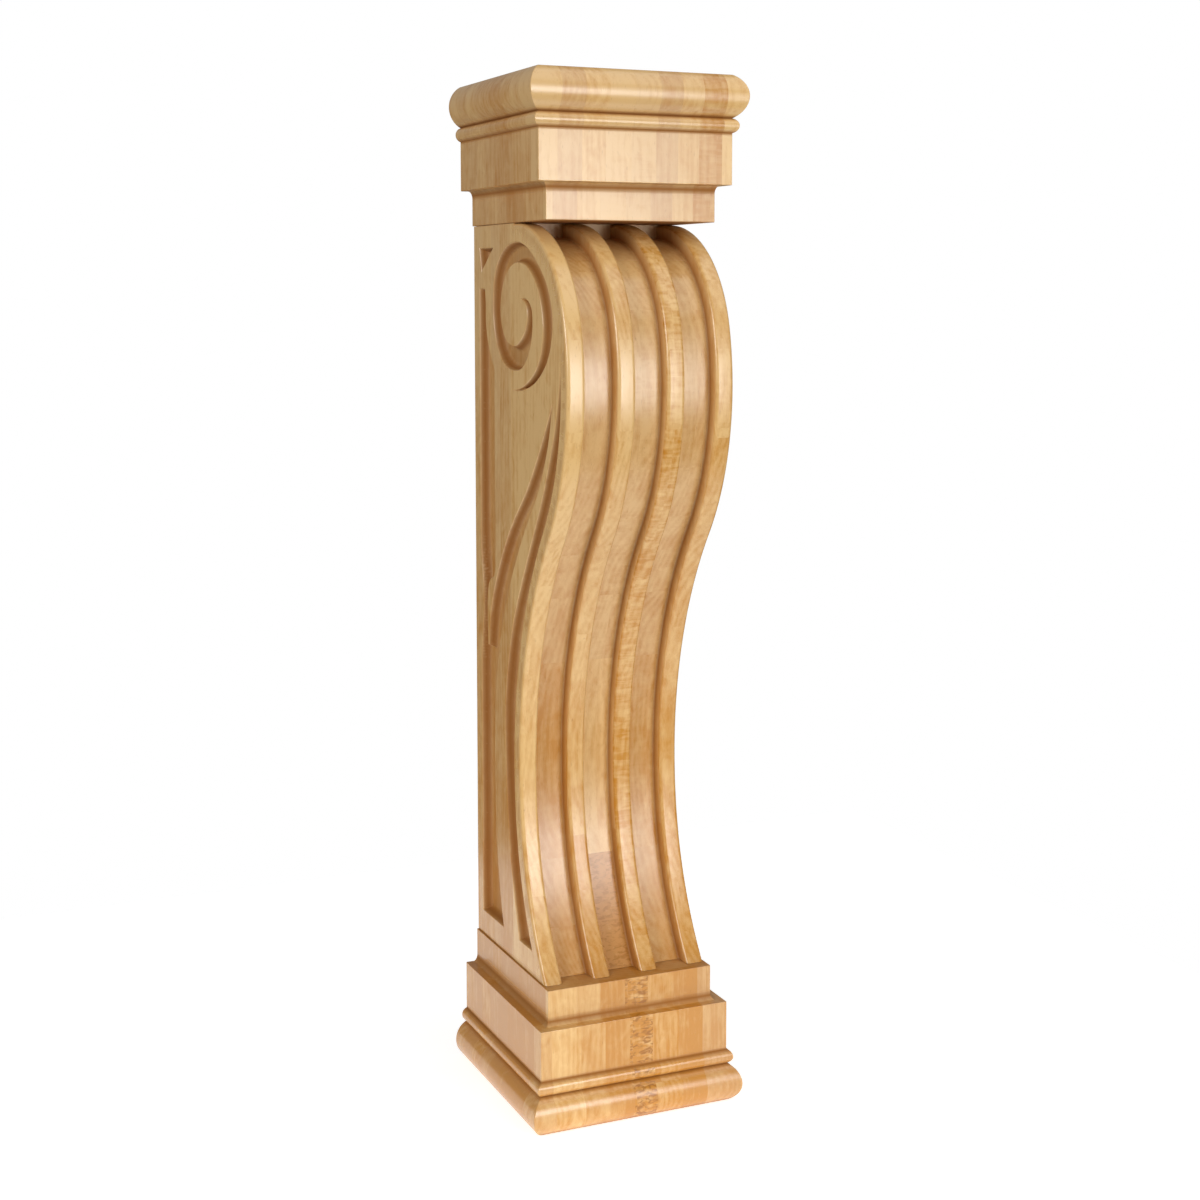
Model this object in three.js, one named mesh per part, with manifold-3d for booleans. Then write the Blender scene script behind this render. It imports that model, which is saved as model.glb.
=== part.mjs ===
// Carved wooden fireplace corbel: a moulded cap block, a reeded S-scroll body and a moulded base block.
// Units are millimetres. X runs across, the front faces -Y, Z is up and the underside rests on Z = 0.
import * as THREE from "three";
import { mergeVertices } from "three/addons/utils/BufferGeometryUtils.js";
import Module from "manifold-3d";

// Overall size
const total_height = 916.6;
const glue_gap = 0.3;

// Moulded blocks: heights count from the bullnose towards the body, and the cap is turned over
const band_width = 181.0;
const band_depth = 190.5;
const base_bullnose = 34.9;
const cap_bullnose = 37.1;
const bullnose_swell = 11.1;
const bead_height = 12.7;
const bead_swell = 4.8;
const band_end = 57.2;
const neck_end = 88.9;
const neck_inset = 11.1;
const cove_width = 4.1;
const cove_height = 6.9;

// Scroll body
const body_width = 155.4;
const foot_ledge = 10.3;
const ridge_width = 17.0;
const channel_count = 3;
const channel_depth = 12.7;

// Side carving
const carving_depth = 8.5;
const back_rim = 13.5;
const front_rim = 13.5;
const foot_rim = 21.9;
const head_rim = 19.8;
const pinch_swell = 6.5;

// Front outline of the scroll from the top down, drawn as tangent arcs and then fitted to the body.
// The flat top runs forward by top_run before the first arc, a turn counts in degrees, and the
// last two arcs are hollow.
const top_run = 100.9;
const brow_radius = 116.7;
const belly_radius = 224.1;
const waist_radius = 356.4;
const foot_radius = 287.0;
const scroll_arcs = [
  { radius: brow_radius, turn: 76.2, side: 1 },
  { radius: belly_radius, turn: 49.7, side: 1 },
  { radius: waist_radius, turn: 45.4, side: -1 },
  { radius: foot_radius, turn: 27.5, side: -1 },
];
const degrees_per_facet = 6;

// Fits derived from the sizes above
const body_bottom = base_bullnose + neck_end + glue_gap;
const body_top = total_height - cap_bullnose - neck_end - glue_gap;
const body_height = body_top - body_bottom;
const foot_depth = band_depth - neck_inset - foot_ledge;
const half_width = body_width / 2;
const channel_width = (body_width - (channel_count + 1) * ridge_width) / channel_count;
const overrun = 20;

const wasm = await Module();
wasm.setup();

// Closed solid from a geometry
function solid(geometry) {
  const loose = geometry.index ? geometry.toNonIndexed() : geometry;
  const bare = new THREE.BufferGeometry().setAttribute("position", loose.getAttribute("position"));
  const merged = mergeVertices(bare, 1e-4);
  return new wasm.Manifold(
    new wasm.Mesh({
      numProp: 3,
      vertProperties: merged.getAttribute("position").array,
      triVerts: new Uint32Array(merged.index.array),
    }),
  );
}

const point = (a, b) => new THREE.Vector2(a, b);

// Outline in (distance forward of the back, height), extruded across from one X position to another
function across(outline, x_from, x_to) {
  const depth = x_to - x_from;
  const geometry = new THREE.ExtrudeGeometry(new THREE.Shape(outline), { depth, bevelEnabled: false });
  const turn = new THREE.Matrix4().makeBasis(
    new THREE.Vector3(0, -1, 0),
    new THREE.Vector3(0, 0, 1),
    new THREE.Vector3(-1, 0, 0),
  );
  return solid(geometry.applyMatrix4(turn).translate(x_to, 0, 0));
}

// Outline in (X, height), extruded forward from the back face
function forward(outline, depth) {
  const geometry = new THREE.ExtrudeGeometry(new THREE.Shape(outline), { depth, bevelEnabled: false });
  return solid(geometry.rotateX(Math.PI / 2));
}

// The arcs as drawn, as (distance forward, height below the top), moved inwards by an inset
function drawn_scroll(inset) {
  const line = [point(top_run, -inset)];
  let heading = 0;
  for (const { radius, turn, side } of scroll_arcs) {
    const reach = radius - side * inset;
    const start = line[line.length - 1];
    const centre = point(
      start.x - side * reach * Math.sin(heading),
      start.y - side * reach * Math.cos(heading),
    );
    const sweep = side * THREE.MathUtils.degToRad(turn);
    const facets = Math.round(turn / degrees_per_facet);
    for (let i = 1; i <= facets; i++) {
      const angle = heading + (sweep * i) / facets;
      line.push(
        point(
          centre.x + side * reach * Math.sin(angle),
          centre.y + side * reach * Math.cos(angle),
        ),
      );
    }
    heading += sweep;
  }
  return line;
}

// Front outline of the scroll in the part, fitted between the body's top and the front of the foot
function scroll_line(inset) {
  const drawn = drawn_scroll(0);
  const foot = drawn[drawn.length - 1];
  return drawn_scroll(inset).map((place) =>
    point((place.x * foot_depth) / foot.x, body_top + (place.y * body_height) / -foot.y),
  );
}

// How far forward a line that runs down the front stands at a height
function depth_at(line, height) {
  const next = Math.max(1, line.findIndex((place) => place.y <= height));
  const [above, below] = [line[next - 1], line[next]];
  return THREE.MathUtils.mapLinear(height, above.y, below.y, above.x, below.x);
}

// Smooth curve through places given in percent: the first number counts from the back to the
// front outline at that height, and the second from the body's bottom to its top
function carved(places, steps) {
  const outline = scroll_line(0);
  const fitted = places.map(([share, rise]) => {
    const height = body_bottom + (rise / 100) * body_height;
    return point((share / 100) * depth_at(outline, height), height);
  });
  return new THREE.SplineCurve(fitted).getPoints(steps);
}

// Small pocket between the back rim and the band that sweeps down from the top
function corner_pocket() {
  const shelf = body_top - head_rim;
  const sweep = [
    [9.7, 93.7],
    [18.2, 95.2],
    [30.2, 97.0],
  ];
  return [point(back_rim, shelf), ...carved(sweep, 6)];
}

// Back groove, which takes in the long groove behind the leaf and widens towards the foot
function back_groove() {
  const foot = body_bottom + foot_rim;
  const band = [
    [14.0, 91.5],
    [14.4, 89.4],
    [14.2, 86.6],
    [16.6, 83.9],
    [20.1, 81.9],
    [23.2, 80.6],
  ];
  const panel_tip = [
    [33.0, 53.4],
    [31.3, 52.0],
    [25.1, 51.3],
    [22.1, 49.7],
    [22.3, 46.7],
    [25.7, 42.2],
  ];
  const panel_front = [
    [25.7, 42.2],
    [28.7, 47.4],
    [38.1, 53.4],
    [49.4, 59.4],
    [64.3, 65.4],
    [75.3, 71.4],
    [85.9, 77.3],
  ];
  const leaf_back = [
    [85.9, 77.3],
    [82.8, 71.4],
    [77.5, 65.4],
    [68.3, 59.4],
    [61.3, 53.4],
    [53.7, 47.4],
    [48.1, 41.4],
    [43.8, 35.4],
    [42.8, 26.4],
    [42.3, 16.6],
    [43.1, 9.1],
    [44.1, 3.3],
  ];
  const band_line = carved(band, 12);
  const pinch_middle = carved(panel_tip, 2)[2].y + 0.06 * body_height;
  const pinch_reach = 0.09 * body_height;
  const pinch = [];
  for (let i = 0; i <= 8; i++) {
    const along = i / 4 - 1;
    const swell = (pinch_swell * (1 + Math.cos(Math.PI * along))) / 2;
    pinch.push(point(back_rim + swell, pinch_middle + along * pinch_reach));
  }
  return [
    point(back_rim, foot),
    ...pinch,
    point(back_rim, band_line[0].y),
    ...band_line,
    ...carved(panel_tip, 14),
    ...carved(panel_front, 22).slice(1),
    ...carved(leaf_back, 32).slice(1, -1),
    point(carved(leaf_back, 1)[1].x, foot),
  ];
}

// Long groove between the leaf and the front rim
function front_groove() {
  const foot = body_bottom + foot_rim;
  const leaf_front = [
    [94.2, 83.0],
    [91.7, 78.9],
    [88.8, 74.4],
    [86.5, 71.4],
    [82.6, 65.4],
    [79.5, 59.4],
    [76.8, 53.4],
    [71.3, 47.4],
    [67.6, 41.4],
    [65.6, 35.4],
    [67.0, 29.4],
    [69.6, 21.1],
    [70.3, 12.9],
    [69.5, 3.3],
  ];
  const leaf_line = carved(leaf_front, 32);
  const rim = scroll_line(front_rim);
  const tip_gap = front_rim / 2;
  const rim_line = rim.filter((place) => place.y > foot && place.y < leaf_line[0].y - tip_gap);
  return [
    ...leaf_line.slice(0, -1),
    point(leaf_line.at(-1).x, foot),
    point(depth_at(rim, foot), foot),
    ...rim_line.reverse(),
  ];
}

// Spiral groove of the scroll end: its outer edge from the eye outwards, then its inner edge back
function spiral_groove() {
  const outer = [
    [55.8, 90.1],
    [61.3, 90.2],
    [65.7, 89.7],
    [68.0, 88.5],
    [67.1, 86.3],
    [64.4, 84.2],
    [60.1, 82.4],
    [53.7, 81.0],
    [46.2, 80.6],
    [37.3, 81.0],
    [30.4, 82.3],
    [25.1, 84.7],
    [23.1, 87.8],
    [25.0, 91.7],
    [31.3, 94.6],
    [45.5, 96.7],
    [64.5, 97.6],
    [77.1, 97.0],
    [83.7, 95.1],
    [88.5, 92.2],
    [89.6, 89.1],
    [88.4, 86.7],
    [84.4, 83.7],
    [77.4, 81.2],
    [67.1, 79.2],
    [54.5, 78.1],
    [40.8, 77.9],
  ];
  const inner = [
    [40.8, 77.9],
    [53.7, 78.6],
    [64.5, 80.1],
    [72.1, 82.2],
    [77.1, 85.2],
    [78.4, 88.2],
    [77.1, 91.4],
    [71.7, 93.8],
    [64.0, 94.7],
    [53.0, 94.6],
    [41.3, 93.1],
    [34.1, 90.6],
    [32.0, 87.6],
    [35.2, 85.3],
    [40.5, 84.2],
    [47.3, 84.0],
    [55.6, 85.2],
    [60.9, 87.0],
    [62.2, 88.7],
    [60.3, 89.7],
    [55.8, 90.1],
  ];
  return [...carved(outer, 84), ...carved(inner, 66).slice(1, -1)];
}

// Scroll body: the S outline, the channels down its front and the carving cut into both sides
function scroll_body_solid() {
  const line = scroll_line(0);
  let body = across(
    [point(0, body_bottom), ...line.toReversed(), point(0, body_top)],
    -half_width,
    half_width,
  );

  const floor = scroll_line(channel_depth);
  const clear = Math.max(...line.map((place) => place.x)) + overrun;
  const channel = [
    ...floor,
    point(clear, floor.at(-1).y),
    point(clear, body_top + overrun),
    point(floor[0].x, body_top + overrun),
  ];
  for (let i = 0; i < channel_count; i++) {
    const left = -half_width + ridge_width + i * (channel_width + ridge_width);
    body = body.subtract(across(channel, left, left + channel_width));
  }

  for (const pocket of [corner_pocket(), back_groove(), front_groove(), spiral_groove()]) {
    body = body
      .subtract(across(pocket, -half_width - overrun, -half_width + carving_depth))
      .subtract(across(pocket, half_width - carving_depth, half_width + overrun));
  }
  return body;
}

// Moulding of a block as (distance out from the wide band, height above the block's outer end)
function moulding(bullnose_height) {
  const line = [];
  const swelling = (low, height, swell, facets) => {
    const radius = ((height / 2) ** 2 + swell ** 2) / (2 * swell);
    const spread = Math.asin(height / 2 / radius);
    for (let i = 0; i <= facets; i++) {
      const angle = spread * ((2 * i) / facets - 1);
      line.push([
        swell - radius * (1 - Math.cos(angle)),
        low + height / 2 + radius * Math.sin(angle),
      ]);
    }
  };
  swelling(0, bullnose_height, bullnose_swell, 12);
  line.pop();
  swelling(bullnose_height, bead_height, bead_swell, 8);
  const band_top = bullnose_height + band_end;
  line.push([0, band_top]);
  const cove_facets = 5;
  for (let i = 0; i <= cove_facets; i++) {
    const angle = ((Math.PI / 2) * i) / cove_facets;
    line.push([
      cove_width * (1 - Math.sin(angle)) - neck_inset,
      band_top + cove_height * (1 - Math.cos(angle)),
    ]);
  }
  line.push([-neck_inset, bullnose_height + neck_end]);
  return line;
}

// Block with the moulding mitred round its front and both sides, and its back left flat
function moulded_block(bullnose_height) {
  const line = moulding(bullnose_height);
  const front = [
    point(0, 0),
    ...line.map(([out, height]) => point(band_depth + out, height)),
    point(0, line.at(-1)[1]),
  ];
  const right = line.map(([out, height]) => point(band_width / 2 + out, height));
  const left = line.map(([out, height]) => point(-band_width / 2 - out, height));
  const reach = band_width / 2 + bullnose_swell + overrun;
  const length = band_depth + bullnose_swell + overrun;
  return across(front, -reach, reach).intersect(forward([...right, ...left.reverse()], length));
}

// Overall depth, which sets the middle of the footprint
const belly_depth = Math.max(...scroll_line(0).map((place) => place.x));
const overall_depth = Math.max(belly_depth, band_depth + bullnose_swell);

// Named mesh from a finished solid, set back so that the footprint's middle is at Y = 0
function piece(name, made, colour) {
  const raw = made.getMesh();
  const geometry = new THREE.BufferGeometry()
    .setAttribute("position", new THREE.BufferAttribute(Float32Array.from(raw.vertProperties), 3))
    .setIndex(new THREE.BufferAttribute(Uint32Array.from(raw.triVerts), 1));
  geometry.computeVertexNormals();
  const wood = new THREE.MeshStandardMaterial({ color: colour, roughness: 0.42, metalness: 0 });
  const mesh = new THREE.Mesh(geometry, wood);
  mesh.name = name;
  mesh.position.y = overall_depth / 2;
  return mesh;
}

const base_block = piece("base_block", moulded_block(base_bullnose), 0xd9ad72);
const scroll_body = piece("scroll_body", scroll_body_solid(), 0xdcb27a);

// The cap is turned over in its height, so its mirror scale puts the bullnose uppermost
const cap_block = piece("cap_block", moulded_block(cap_bullnose), 0xdeb982);
cap_block.scale.z = -1;
cap_block.position.z = total_height;

const corbel = new THREE.Group();
corbel.name = "fireplace_corbel";
corbel.add(base_block, scroll_body, cap_block);

export default corbel;
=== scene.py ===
"""Carved maple fireplace corbel: moulded base and cap blocks with a reeded S-scroll body between.

Lengths are metres in the part's own frame: X across, the front towards -Y, Z up from the underside.
"""

import math

import bmesh
import bpy
import numpy as np
from bpy.props import FloatProperty, FloatVectorProperty, IntProperty, PointerProperty
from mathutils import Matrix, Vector
from mathutils.geometry import delaunay_2d_cdt


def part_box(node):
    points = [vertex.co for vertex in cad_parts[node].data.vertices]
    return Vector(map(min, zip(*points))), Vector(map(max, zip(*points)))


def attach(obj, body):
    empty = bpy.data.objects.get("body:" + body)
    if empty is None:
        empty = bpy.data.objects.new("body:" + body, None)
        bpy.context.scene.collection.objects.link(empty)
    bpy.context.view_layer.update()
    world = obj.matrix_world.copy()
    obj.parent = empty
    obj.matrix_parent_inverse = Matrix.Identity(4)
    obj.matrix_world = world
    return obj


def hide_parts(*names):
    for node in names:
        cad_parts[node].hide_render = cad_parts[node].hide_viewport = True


bl_info = {
    "name": "Fireplace corbel",
    "version": (1, 0, 0),
    "blender": (4, 5, 0),
    "location": "3D View > Sidebar > Corbel",
    "description": "Builds a carved maple fireplace corbel and the studio round it",
    "category": "Add Mesh",
}

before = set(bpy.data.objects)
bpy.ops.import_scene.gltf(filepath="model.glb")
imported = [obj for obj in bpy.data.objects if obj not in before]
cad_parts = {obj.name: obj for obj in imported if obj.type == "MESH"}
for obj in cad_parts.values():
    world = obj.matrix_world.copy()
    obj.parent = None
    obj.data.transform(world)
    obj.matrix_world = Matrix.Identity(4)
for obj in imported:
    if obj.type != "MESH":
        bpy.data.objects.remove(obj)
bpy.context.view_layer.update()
BASE_LOW, BASE_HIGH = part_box("base_block")
CAP_LOW, CAP_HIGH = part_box("cap_block")
BODY_LOW, BODY_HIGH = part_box("scroll_body")

MM = 0.001
BACK = BASE_HIGH.y
HALF_BODY = BODY_HIGH.x

# How close points have to be to count as one place: along a line, on a plane or in a merge, on
# the body's side, and when the body's faces are welded
TINY = 1e-6
TOUCH = 0.01 * MM
SIDE_TOUCH = 0.005 * MM
WELD = 0.004 * MM

# Edges sharper than these, in degrees, are shaded sharp, and get a sanded arris
SHARP_ANGLE = 32
ARRIS_ANGLE = 25


# Sizes and colours that a user would change


class CorbelSizes(bpy.types.PropertyGroup):
    """Sizes of the mouldings, the reeding and the carving"""

    bullnose_swell: FloatProperty(
        name="Bullnose swell",
        description="How far the bullnose stands out past the wide band",
        default=11.1 * MM,
        unit="LENGTH",
    )
    base_bullnose: FloatProperty(
        name="Base bullnose",
        description="Height of the bullnose on the base block",
        default=34.9 * MM,
        unit="LENGTH",
    )
    cap_bullnose: FloatProperty(
        name="Cap bullnose",
        description="Height of the bullnose on the cap block",
        default=37.1 * MM,
        unit="LENGTH",
    )
    bead_height: FloatProperty(
        name="Bead height",
        description="Height of the bead between the bullnose and the wide band",
        default=12.7 * MM,
        unit="LENGTH",
    )
    bead_swell: FloatProperty(
        name="Bead swell",
        description="How far the bead stands out past the wide band",
        default=4.8 * MM,
        unit="LENGTH",
    )
    band_end: FloatProperty(
        name="Wide band end",
        description="From the bullnose to the far edge of the wide band",
        default=57.2 * MM,
        unit="LENGTH",
    )
    neck_inset: FloatProperty(
        name="Neck inset",
        description="How far the neck stands back from the wide band",
        default=11.1 * MM,
        unit="LENGTH",
    )
    cove_width: FloatProperty(
        name="Cove width",
        description="How far the cove at the foot of the neck reaches out",
        default=4.1 * MM,
        unit="LENGTH",
    )
    cove_height: FloatProperty(
        name="Cove height",
        description="How far the cove runs up the neck",
        default=6.9 * MM,
        unit="LENGTH",
    )
    arris: FloatProperty(
        name="Sanded arris",
        description="Width of the sanded edge on the mitres and bands",
        default=0.6 * MM,
        unit="LENGTH",
    )
    channels: IntProperty(
        name="Channels",
        description="Channels down the front of the scroll",
        default=3,
        min=1,
        max=9,
    )
    ridge_width: FloatProperty(
        name="Ridge width",
        description="Width of each ridge between the channels",
        default=17.0 * MM,
        unit="LENGTH",
    )
    channel_depth: FloatProperty(
        name="Channel depth",
        description="Depth of the channels, square to the front",
        default=12.7 * MM,
        unit="LENGTH",
    )
    ridge_round: FloatProperty(
        name="Ridge rounding",
        description="Radius of the ridges' long edges",
        default=3.4 * MM,
        unit="LENGTH",
    )
    channel_cove: FloatProperty(
        name="Channel cove",
        description="Radius in the corners of the channels' floors",
        default=1.6 * MM,
        unit="LENGTH",
    )
    carving_depth: FloatProperty(
        name="Carving depth",
        description="Depth of the carving in the sides",
        default=8.5 * MM,
        unit="LENGTH",
    )
    rim_width: FloatProperty(
        name="Rim width",
        description="Plain rim left along the back and the front of the sides",
        default=13.5 * MM,
        unit="LENGTH",
    )
    foot_rim: FloatProperty(
        name="Foot rim",
        description="Plain rim left along the bottom of the sides",
        default=21.9 * MM,
        unit="LENGTH",
    )
    head_rim: FloatProperty(
        name="Head rim",
        description="Plain rim left above the corner pocket",
        default=19.8 * MM,
        unit="LENGTH",
    )


class CorbelFinish(bpy.types.PropertyGroup):
    """Colours of the maple and of the studio"""

    pale: FloatVectorProperty(
        name="Pale maple",
        description="Colour of the palest staves",
        subtype="COLOR",
        default=(0.80, 0.515, 0.205),
        min=0.0,
        max=1.0,
    )
    tan: FloatVectorProperty(
        name="Tan maple",
        description="Colour of the darkest staves",
        subtype="COLOR",
        default=(0.56, 0.235, 0.022),
        min=0.0,
        max=1.0,
    )
    rose: FloatVectorProperty(
        name="Rosy maple",
        description="Colour towards which the pinkish staves lean",
        subtype="COLOR",
        default=(0.58, 0.36, 0.19),
        min=0.0,
        max=1.0,
    )
    # Dark maple colours the real flecks and specks, and is also the painted shade in the grooves,
    # creases and under the cap
    dark: FloatVectorProperty(
        name="Dark maple",
        description="Colour of the wood in the grooves and of the dark flecks",
        subtype="COLOR",
        default=(0.33, 0.112, 0.002),
        min=0.0,
        max=1.0,
    )
    lacquer: FloatProperty(
        name="Lacquer roughness",
        description="Roughness of the clear lacquer",
        default=0.24,
        min=0.0,
        max=1.0,
    )
    floor: FloatVectorProperty(
        name="Floor",
        description="Colour of the studio floor",
        subtype="COLOR",
        default=(0.86, 0.86, 0.85),
        min=0.0,
        max=1.0,
    )


# Front outline of the scroll from the top down: the flat top, tangent arcs (radius, turn in
# degrees, +1 swelling or -1 hollow), then fitted to the body with a ledge left at its foot
TOP_RUN = 100.9 * MM
SCROLL_ARCS = (
    (116.7 * MM, 76.2, 1),
    (224.1 * MM, 49.7, 1),
    (356.4 * MM, 45.4, -1),
    (287.0 * MM, 27.5, -1),
)
FOOT_LEDGE = 10.3 * MM
FACET = math.radians(0.75)

# The section runs on past both ends of the outline, and is then cut within these zones. What
# lies this near to the cut at the top is the edge of the channels' end walls
PATH_OVERRUN = 30 * MM
END_ZONE = 40 * MM
CUT_MARGIN = 10 * MM
END_WALL = 0.1 * MM

# Facets of the mouldings, and of the rounds of the reeding
BULLNOSE_FACETS = 26
BEAD_FACETS = 14
COVE_FACETS = 7
ROUND_FACETS = 5

# A point of the section deeper than this share of the channel lies on its floor, and the outer
# edges of the section run down the sides for this many roundings
FLOOR_SHARE = 0.9
EDGE_ROUNDINGS = 1.8

# Side carving in percent: from the back to the front outline at that height, and from the
# body's bottom to its top
CORNER_SWEEP = ((9.7, 93.7), (18.2, 95.2), (30.2, 97.0))
BAND_SIDE = ((14.0, 91.5), (14.4, 89.4), (14.2, 86.6), (16.6, 83.9), (20.1, 81.9), (23.2, 80.6))
PANEL_TIP = ((33.0, 53.4), (31.3, 52.0), (25.1, 51.3), (22.1, 49.7), (22.3, 46.7), (25.7, 42.2))
PANEL_FRONT = (
    (25.7, 42.2), (28.7, 47.4), (38.1, 53.4), (49.4, 59.4), (64.3, 65.4), (75.3, 71.4),
    (85.9, 77.3),
)
LEAF_BACK = (
    (85.9, 77.3), (82.8, 71.4), (77.5, 65.4), (68.3, 59.4), (61.3, 53.4), (53.7, 47.4),
    (48.1, 41.4), (43.8, 35.4), (42.8, 26.4), (42.3, 16.6), (43.1, 9.1), (44.1, 3.3),
)
LEAF_FRONT = (
    (94.2, 83.0), (91.7, 78.9), (88.8, 74.4), (86.5, 71.4), (82.6, 65.4), (79.5, 59.4),
    (76.8, 53.4), (71.3, 47.4), (67.6, 41.4), (65.6, 35.4), (67.0, 29.4), (69.6, 21.1),
    (70.3, 12.9), (69.5, 3.3),
)
SPIRAL_OUTER = (
    (55.8, 90.1), (61.3, 90.2), (65.7, 89.7), (68.0, 88.5), (67.1, 86.3), (64.4, 84.2),
    (60.1, 82.4), (53.7, 81.0), (46.2, 80.6), (37.3, 81.0), (30.4, 82.3), (25.1, 84.7),
    (23.1, 87.8), (25.0, 91.7), (31.3, 94.6), (45.5, 96.7), (64.5, 97.6), (77.1, 97.0),
    (83.7, 95.1), (88.5, 92.2), (89.6, 89.1), (88.4, 86.7), (84.4, 83.7), (77.4, 81.2),
    (67.1, 79.2), (54.5, 78.1), (40.8, 77.9),
)
SPIRAL_INNER = (
    (40.8, 77.9), (53.7, 78.6), (64.5, 80.1), (72.1, 82.2), (77.1, 85.2), (78.4, 88.2),
    (77.1, 91.4), (71.7, 93.8), (64.0, 94.7), (53.0, 94.6), (41.3, 93.1), (34.1, 90.6),
    (32.0, 87.6), (35.2, 85.3), (40.5, 84.2), (47.3, 84.0), (55.6, 85.2), (60.9, 87.0),
    (62.2, 88.7), (60.3, 89.7), (55.8, 90.1),
)

# Where the back hollow is pinched: middle and reach in percent of the height, and how far in
PINCH_MIDDLE = 48.2
PINCH_REACH = 9.0
PINCH_SWELL = 6.5 * MM

# Steps of a smooth line between two of its places, and of the pinch from end to end
SPLINE_STEPS = 12
PINCH_STEPS = 40

# How the carving falls away inside its outline: distance in, and share of the full depth
FALL_DISTANCE = np.array((0.0, 0.35, 0.8, 1.3, 2.0, 3.0, 4.0, 5.2, 6.2)) * MM
FALL_SHARE = np.array((0.0, 0.03, 0.11, 0.25, 0.48, 0.76, 0.92, 0.985, 1.0))
CARVING_STEP = 1.8 * MM
FLAT_MARGIN = 0.6 * MM

# Mesh of a carved side: share of its distance that a row keeps from every outline, gap between
# the rows' points, and step and gap of the fine and of the coarse points
ROW_HOLD = 0.93
ROW_GAP = 0.3 * MM
FINE_STEP = 1.6 * MM
FINE_GAP = 0.95 * MM
COARSE_STEP = 6 * MM
COARSE_GAP = 3 * MM

# Painted shade of a carved side by its share of the full depth, of a channel's wall by its depth,
# and of the channels' end walls under the cap, and how far a wall's painted shade runs out onto the
# floor
SIDE_SHADE = ((0, 0.15, 0.5, 0.85, 1), (0, 0.7, 1.0, 0.8, 0.45))
WALL_SHADE_BY_DEPTH = ((0, 0.2, 0.5, 0.8, 1), (0, 0.08, 0.35, 0.75, 1.0))
END_WALL_SHADE = 0.3
FLOOR_FADE = 1.8 * MM


def scroll_path(overrun=0.0):
    """Front outline of the scroll as rows of (distance forward, height), from the top down"""
    places = [np.array((TOP_RUN, 0.0))]
    heading = 0.0
    for radius, turn, side in SCROLL_ARCS:
        start = places[-1]
        centre = start - side * radius * np.array((math.sin(heading), math.cos(heading)))
        sweep = side * math.radians(turn)
        facets = round(abs(sweep) / FACET)
        for i in range(1, facets + 1):
            angle = heading + sweep * i / facets
            places.append(centre + side * radius * np.array((math.sin(angle), math.cos(angle))))
        heading += sweep
    line = np.array(places)
    sizes = bpy.context.scene.corbel_sizes
    ledge = sizes.bullnose_swell + sizes.neck_inset + FOOT_LEDGE
    foot_depth = BACK - BASE_LOW.y - ledge
    line *= (foot_depth / line[-1, 0], (BODY_HIGH.z - BODY_LOW.z) / -line[-1, 1])
    line[:, 1] += BODY_HIGH.z
    if overrun:
        last = line[-1] - line[-2]
        last /= np.linalg.norm(last)
        line = np.vstack((line[0] - (overrun, 0.0), line, line[-1] + overrun * last))
    return line


def even_steps(line, step):
    """A line's points respaced evenly, with both ends kept"""
    lengths = np.r_[0.0, np.cumsum(np.linalg.norm(np.diff(line, axis=0), axis=1))]
    count = max(2, round(lengths[-1] / step) + 1)
    along = np.linspace(0.0, lengths[-1], count)
    return np.column_stack([np.interp(along, lengths, line[:, k]) for k in (0, 1)])


def carved(places, outline):
    """Smooth line through places given in percent of the side"""
    share, rise = np.array(places).T / 100
    height = BODY_LOW.z + rise * (BODY_HIGH.z - BODY_LOW.z)
    depth = share * np.interp(height, outline[::-1, 1], outline[::-1, 0])
    knots = np.column_stack((depth, height))
    padded = np.vstack((knots[0], knots, knots[-1]))
    line = [knots[0]]
    for i in range(len(knots) - 1):
        before, start, end, after = padded[i : i + 4]
        leave, arrive = (end - before) / 2, (after - start) / 2
        for t in np.linspace(0, 1, SPLINE_STEPS + 1)[1:]:
            line.append(
                (2 * start - 2 * end + leave + arrive) * t**3
                + (-3 * start + 3 * end - 2 * leave - arrive) * t**2
                + leave * t
                + start
            )
    return even_steps(np.array(line), CARVING_STEP)


def joined(*lines):
    """One closed outline from lines that follow each other, with even steps between them"""
    points = []
    for line, after in zip(lines, lines[1:] + lines[:1]):
        points.extend(line)
        gap = np.array([line[-1], after[0]])
        length = np.linalg.norm(gap[1] - gap[0])
        if length > TINY:
            points.extend(even_steps(gap, CARVING_STEP)[1:-1])
        else:
            points.pop()
    return np.array(points)


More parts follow.
